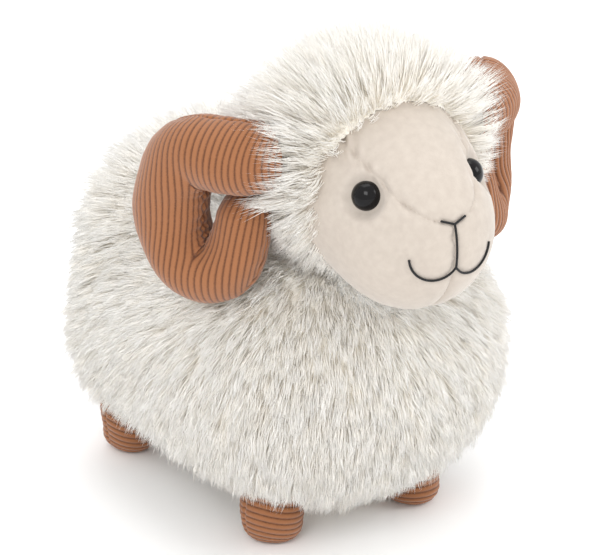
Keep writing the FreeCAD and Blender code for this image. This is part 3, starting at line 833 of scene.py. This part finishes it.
def wale_groove(phase):
    """How deep the cloth is below its ridges, for places counted in wales across it."""
    return WALE_RISE * (1 - np.abs(np.cos(math.pi * phase)) ** RIDGE_POWER)


def angles_round(rings):
    """The angle of each point of a tube's grid, one row for each ring."""
    return np.broadcast_to(np.linspace(0, FULL_TURN, AROUND, endpoint=False), (rings, AROUND))


def distances(places):
    """How far along a line each of its places is."""
    return np.concatenate([[0], np.cumsum(np.linalg.norm(np.diff(places, axis=0), axis=1))])


def tube_faces(rings):
    """Quads of a tube, as indexes into its grid of points, and each one's step round the tube."""
    ring, step = np.meshgrid(np.arange(rings - 1), np.arange(AROUND), indexing="ij")
    ring, step = ring.ravel(), step.ravel()
    beside = (step + 1) % AROUND
    low, high = ring * AROUND, (ring + 1) * AROUND
    return np.stack([low + step, low + beside, high + beside, high + step], axis=1), step


def ribbed_piece(node, filling, points, faces, phase, body, cloth):
    """One sewn corduroy panel, with its ridges in the Wale layer."""
    local, small, used = compact(points.reshape(-1, 3), faces)
    piece = new_piece("cord_" + node, local, small, cloth)
    waves = phase.ravel()[used][small.ravel()]
    add_layer(piece, "Wale", np.stack([waves, np.zeros_like(waves)], axis=1))
    stand_for(piece, body, [node, filling])


# ---------------------------------------------------------------- horns

HORN_MIDDLE = (78, -33, 180)
HORN_FLARE = math.radians(28)
HORN_LEAD = 4           # how far the curl is drawn forward
HORN_HALF_LENGTH = 19
HORN_HALF_HEIGHT = 30
ROOT_RUN = 6            # straight run from the root's bend to the top of the curl
ROOT_BEND = 23          # radius of the root's bend
ROOT_START = math.radians(60)
ROOT_POINTS = 30
ROOT_RADIUS = 18
ROOT_THINNING = 2
CURL = math.radians(292)
CURL_POINTS = 150
CURL_TIGHTENS = math.radians(150)       # from here on
TIGHTEN = 0.3           # share of the curl's half length lost by its end
TUCK = 13               # how far the tip leans in towards the head
TUCK_POWER = 1.8
HORN_TURNS = (0, 86, 172, 258, 292)     # degrees of curl, and the tube's radius at each
HORN_RADII = (18.2, 18.2, 15.5, 14, 12.5)
TIP_ROUNDING = 0.95     # length of the rounded tip, for each millimetre of its radius
TIP_OPENING = 0.0004    # the square of how wide the tip still is at its end, as a share
LEAST_RADIUS = 0.05
CLOTH_TURN = 0.06       # how far the wales are from straight up the horn, in radians
DRIFT = 0.7             # how far the wales wander sideways
DRIFT_LENGTH = 17
DRIFT_START = 1.0
RIPPLE = 0.4            # and how much they ripple
RIPPLE_WIDTH = 9
RIPPLE_LENGTH = 13
SEAM_DENT = (0.9, 0.9)          # depth and width
GATHER_DEPTHS = {"inner": 1.3, "outer": 0.5}
GATHER_WIDTH = 5.5      # how far the gathers run from their seam
GATHER_POWER = 1.5
GATHER_STEP = 1.25      # millimetres along the seam for each radian of a gather
GATHER_WANDER = 1.4     # how unevenly they follow each other
WANDER_LENGTH = 7
BACK_SHIFT = 1.7        # how far the inner panel's gathers are out of step
LUMPS = ((0.45, 9, 2), (0.35, 5.1, -3))         # height, length along the horn and turns round it


class Horn:
    """A stuffed horn's centre line, and the grid of points round it."""

    def __init__(self, sign):
        line, self.backward = horn_line(sign)
        self.middle = line[0].mean(axis=0)
        even, self.marks = resample(line, TUBE_STEP)
        self.places, headings, facings, self.flats, radii, self.bends = even
        self.headings = unit(headings)
        self.facings = unit(along_surface(facings, self.headings))
        self.sides = np.cross(self.headings, self.facings)
        self.radii = radii * self.tip_share(radii[-1])
        self.angles = angles_round(len(self.marks))
        self.aside = np.arctan2(np.sin(self.angles), np.abs(np.cos(self.angles)))

    def tip_share(self, radius):
        """How wide the tube is, compared with its full width: less near its rounded tip."""
        cap = radius * TIP_ROUNDING
        near_tip = ramp(self.marks - (self.marks[-1] - cap), 0, cap)
        return np.sqrt(np.maximum(1 - near_tip ** 2, TIP_OPENING))

    def phase(self):
        """Each point's place in the flat panel, counted in wales across it, with a drift in the cloth."""
        heading = np.stack([self.headings @ self.backward, self.headings @ UP], axis=1)
        heading[self.marks < ROOT_BEND * ROOT_START] = (1, 0)
        heading = unit(heading)
        side = np.stack([heading[:, 1], -heading[:, 0]], axis=1) * -np.sign((self.sides @ UP)[0])
        radii = self.radii[:, None]
        across = self.flats[:, None, 0] + side[:, None, 0] * radii * self.aside
        across = across - self.bends[:, None] * radii * np.cos(self.angles)
        rise = self.flats[:, None, 1] + side[:, None, 1] * radii * self.aside
        drift = DRIFT * np.sin(rise / DRIFT_LENGTH + DRIFT_START)
        drift = drift + RIPPLE * np.sin(across / RIPPLE_WIDTH + rise / RIPPLE_LENGTH)
        return (across * math.cos(CLOTH_TURN) + rise * math.sin(CLOTH_TURN) + drift) / WALE

    def dents(self):
        """How far seams, gathers and lumps are below the full tube."""
        from_seam = (math.pi / 2 - np.abs(self.aside)) * self.radii[:, None]
        inward = np.sign((self.sides * (self.middle - self.places)).sum(axis=1))[:, None]
        inner = np.sign(np.sin(self.angles)) * inward > 0
        marks = self.marks[:, None]
        back = np.cos(self.angles) < 0
        depth = np.where(inner, GATHER_DEPTHS["inner"], GATHER_DEPTHS["outer"])
        wander = GATHER_WANDER * np.sin(marks / WANDER_LENGTH)
        gather = 0.5 + 0.5 * np.sin(marks / GATHER_STEP + wander + back * BACK_SHIFT)
        gather = depth * gather * np.exp(-(from_seam / GATHER_WIDTH) ** GATHER_POWER)
        lumps = sum(size * np.sin(marks / length + turns * self.angles) for size, length, turns in LUMPS)
        seam = SEAM_DENT[0] * bell(from_seam, SEAM_DENT[1])
        return (seam + gather + lumps) * ramp(self.radii, 0, THIN_PANEL)[:, None]

    def points(self, phase):
        """The ribbed and dented grid of points."""
        groove = wale_groove(phase) * ramp(self.radii, 0, THIN_TUBE)[:, None]
        reach = np.maximum(self.radii[:, None] - groove - self.dents(), LEAST_RADIUS)
        outward = self.facings[:, None, :] * (np.cos(self.angles) * reach)[:, :, None]
        sideways = self.sides[:, None, :] * (np.sin(self.angles) * reach)[:, :, None]
        return self.places[:, None, :] + outward + sideways


def make_horn(name, sign, cloth):
    """The two corduroy panels of a horn, sewn together along the inside and outside of its curl."""
    horn = Horn(sign)
    phase = horn.phase()
    points = horn.points(phase)
    faces, step = tube_faces(len(horn.marks))
    if sign < 0:
        faces = faces[:, ::-1]
    outer = np.cos((step + 0.5) * FULL_TURN / AROUND) > 0
    body = "horn_" + name
    for panel, zone in (("outer_panel", outer), ("inner_panel", ~outer)):
        node = "%s_%s" % (body, panel)
        ribbed_piece(node, body + "_filling", points, faces[zone], phase, body, cloth)


def horn_line(sign):
    """A horn's centre line from its root to its tip, and its backward direction.

    The columns are places, headings, facings, places in the flat pattern, radii and turns of the root.
    """
    backward = np.array([sign * math.sin(HORN_FLARE), math.cos(HORN_FLARE), 0])
    outward = np.array([sign * math.cos(HORN_FLARE), -math.sin(HORN_FLARE), 0])
    middle = np.array(HORN_MIDDLE, float) * (sign, 1, 1) - backward * HORN_LEAD
    turning = middle + UP * HORN_HALF_HEIGHT - backward * ROOT_RUN - outward * ROOT_BEND
    rows = []
    for turn in np.linspace(ROOT_START, 0, ROOT_POINTS):
        facing = outward * math.cos(turn) - backward * math.sin(turn)
        heading = backward * math.cos(turn) + outward * math.sin(turn)
        flat = (-ROOT_RUN - ROOT_BEND * turn, HORN_HALF_HEIGHT)
        radius = ROOT_RADIUS - ROOT_THINNING * math.sin(turn) ** 2
        rows.append((turning + facing * ROOT_BEND, heading, facing, flat, radius, turn))
    for turned in np.linspace(0, CURL, CURL_POINTS):
        turn = math.pi / 2 - turned
        swing = ramp(turned, CURL_TIGHTENS, CURL)
        across = HORN_HALF_LENGTH * (1 - TIGHTEN * swing ** 2) * math.cos(turn)
        rise = HORN_HALF_HEIGHT * math.sin(turn)
        place = middle + backward * across + UP * rise - outward * (TUCK * swing ** TUCK_POWER)
        ahead = HORN_HALF_LENGTH * math.sin(turn)
        heading = unit(backward * ahead - UP * HORN_HALF_HEIGHT * math.cos(turn))
        radius = np.interp(math.degrees(turned), HORN_TURNS, HORN_RADII)
        rows.append((place, heading, outward, (across, rise), radius, 0))
    return [np.array(column, float) for column in zip(*rows)], backward


def resample(columns, step):
    """Columns at even steps along the line that the first column draws, and those steps' distances."""
    travelled = distances(columns[0])
    marks = np.linspace(0, travelled[-1], int(travelled[-1] / step))
    even = []
    for column in columns:
        wide = column.reshape(len(column), -1)
        fine = [np.interp(marks, travelled, values) for values in wide.T]
        even.append(np.stack(fine, axis=1).reshape((len(marks),) + column.shape[1:]))
    return even, marks


# ---------------------------------------------------------------- feet

FOOT_HEIGHT = 38
FOOT_ROUNDING = 9.5
SOLE_POINTS = 14
EDGE_POINTS = 28
WALL_STEP = 0.5
FOOT_SEED = 31
FOOT_SEAM = (0.8, 1.0)          # depth and width
RIDGE_TILT = 1.6        # how far the ridges' rings lean
RIDGE_SADDLE = 0.8      # and how far they bend
SOLE_MIDDLE = 12        # nearer the sole's middle than this, they do less of both
CRUMPLE = 0.7
CRUMPLE_LENGTH = 4.2
CRUMPLE_SWAY = 1.5
CRUMPLE_Z = 12          # full crumples from this height
SIDES_SUNK = 0.5        # how far the foot is from round
SOLE_FADE = 3           # height over which the sole's grooves fade out
SOLE_GROOVES = 0.8      # share of a groove's depth that shows on the sole
LEAST_FOOT_RADIUS = 0.02


def make_foot(end, side, place, seed, cloth):
    """A stuffed corduroy stub with its ridges round it and a flat sole."""
    profile = foot_profile()
    radius = profile[:, None, 0]
    height = profile[:, None, 1]
    marks = distances(profile)[:, None]
    angles = angles_round(len(profile))
    turn = np.random.default_rng(seed).uniform(0, FULL_TURN, 4)
    tilt = RIDGE_TILT * np.cos(angles + turn[0]) + RIDGE_SADDLE * np.sin(2 * angles + turn[1])
    phase = (marks + tilt * ramp(marks, 0, SOLE_MIDDLE)) / WALE
    sway = CRUMPLE_SWAY * np.cos(angles + turn[2])
    crumple = CRUMPLE * np.sin(height / CRUMPLE_LENGTH + sway) * ramp(height, 0, CRUMPLE_Z)
    crumple = crumple + SIDES_SUNK * np.sin(3 * angles + turn[3])
    seam = FOOT_SEAM[0] * bell(np.abs(angles - math.pi) * FOOT_RADIUS, FOOT_SEAM[1])
    groove = wale_groove(phase)
    dents = (crumple + seam + groove) * ramp(radius, 0, THIN_PANEL)
    reach = np.maximum(radius - dents, LEAST_FOOT_RADIUS)
    on_sole = ramp(height, FOOT_ROUNDING / 2, FOOT_ROUNDING / 2 - SOLE_FADE)
    rise = height + on_sole * groove * SOLE_GROOVES
    points = np.stack([place[0] + reach * np.cos(angles), place[1] + reach * np.sin(angles), rise], axis=2)
    faces, _ = tube_faces(len(profile))
    foot = "foot_%s_%s_" % (end, side)
    ribbed_piece(foot + "cover", foot + "filling", points, faces, phase, "body", cloth)


def foot_profile():
    """Radius and height from the middle of the sole to the open top."""
    flat = FOOT_RADIUS - FOOT_ROUNDING
    sole = [(radius, 0) for radius in np.linspace(LEAST_FOOT_RADIUS, flat, SOLE_POINTS, endpoint=False)]
    turns = np.linspace(-math.pi / 2, 0, EDGE_POINTS, endpoint=False)
    edge = [(flat + FOOT_ROUNDING * math.cos(turn), FOOT_ROUNDING * (1 + math.sin(turn))) for turn in turns]
    heights = np.arange(FOOT_ROUNDING, FOOT_HEIGHT - 1, WALL_STEP)
    return np.array(sole + edge + [(FOOT_RADIUS, height) for height in heights])


# ---------------------------------------------------------------- stage, light, camera

FLOOR_HALF = 3000
WORLD_LIGHT = 1.05
# Softboxes: place, size and power.
SOFTBOXES = {
    "key": ((-1.3, -1.3, 1.5), 0.9, 16),
    "fill": ((1.4, -1.1, 1.1), 0.9, 11),
    "top": ((0.1, 0.6, 1.9), 1.4, 12),
}
LIGHT_AIM = (0, 0, 0.12)
PILE_BOUNCES = 8        # white pile turns grey with fewer
VIEW_AZIMUTH = math.radians(-30.4)
VIEW_ELEVATION = math.radians(23.5)
VIEW_DISTANCE = 1500
VIEW_TARGET = (0, 7, 114)
SENSOR = 36
LENS = 181.8


def make_stage(made):
    corners = [(x * FLOOR_HALF, y * FLOOR_HALF, 0) for x, y in ((-1, -1), (1, -1), (1, 1), (-1, 1))]
    new_piece("floor", corners, [(0, 1, 2, 3)], made, smooth=False)


def soft_light(name, place, size, power):
    """A square softbox that faces the toy."""
    data = bpy.data.lights.new(name, "AREA")
    data.size = size
    data.energy = power
    lamp = bpy.data.objects.new(name, data)
    bpy.context.scene.collection.objects.link(lamp)
    lamp.location = place
    aim = Vector(LIGHT_AIM) - Vector(place)
    lamp.rotation_euler = aim.to_track_quat("-Z", "Y").to_euler()


def make_light():
    scene = bpy.context.scene
    scene.world = bpy.data.worlds.new("studio")
    scene.world.use_nodes = True
    sky = scene.world.node_tree.nodes["Background"].inputs
    sky["Color"].default_value = (*WHITE, 1)
    sky["Strength"].default_value = WORLD_LIGHT
    for name, softbox in SOFTBOXES.items():
        soft_light(name, *softbox)
    scene.view_settings.view_transform = "Standard"
    scene.view_settings.look = "None"
    scene.cycles.diffuse_bounces = PILE_BOUNCES


def make_camera():
    flat = math.cos(VIEW_ELEVATION)
    back = Vector((math.sin(VIEW_AZIMUTH) * flat, -math.cos(VIEW_AZIMUTH) * flat, math.sin(VIEW_ELEVATION)))
    data = bpy.data.cameras.new("camera")
    data.sensor_width = SENSOR
    data.lens = LENS
    camera = bpy.data.objects.new("camera", data)
    bpy.context.scene.collection.objects.link(camera)
    camera.location = (Vector(VIEW_TARGET) + back * VIEW_DISTANCE) * MM
    camera.rotation_euler = back.to_track_quat("Z", "Y").to_euler()
    bpy.context.scene.camera = camera


def dress_cad_nodes():
    """Materials for the CAD solids that stay as they are."""
    thread, eye, washer = speckled("black_thread"), speckled("eye_black"), speckled("washer_plastic")
    chosen = {"mouth_stitches": thread, "nose_stitches": thread, "neck_filling": speckled("fibre")}
    for side, _ in SIDES:
        chosen["eye_" + side] = eye
        chosen["eye_washer_" + side] = washer
    for node, made in chosen.items():
        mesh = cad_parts[node].data
        mesh.materials.clear()
        mesh.materials.append(made)


fur = pile_material()
backing = speckled("backing")
velour = speckled("velour")
corduroy = corduroy_material()
make_stage(speckled("floor"))
make_light()
make_camera()
make_body(fur, backing)
make_hood(fur, backing)
make_face(velour)
for side, sign in SIDES:
    make_horn(side, sign, corduroy)
for seed, (end, side, place) in enumerate(feet(), start=FOOT_SEED):
    make_foot(end, side, place, seed, corduroy)
dress_cad_nodes()
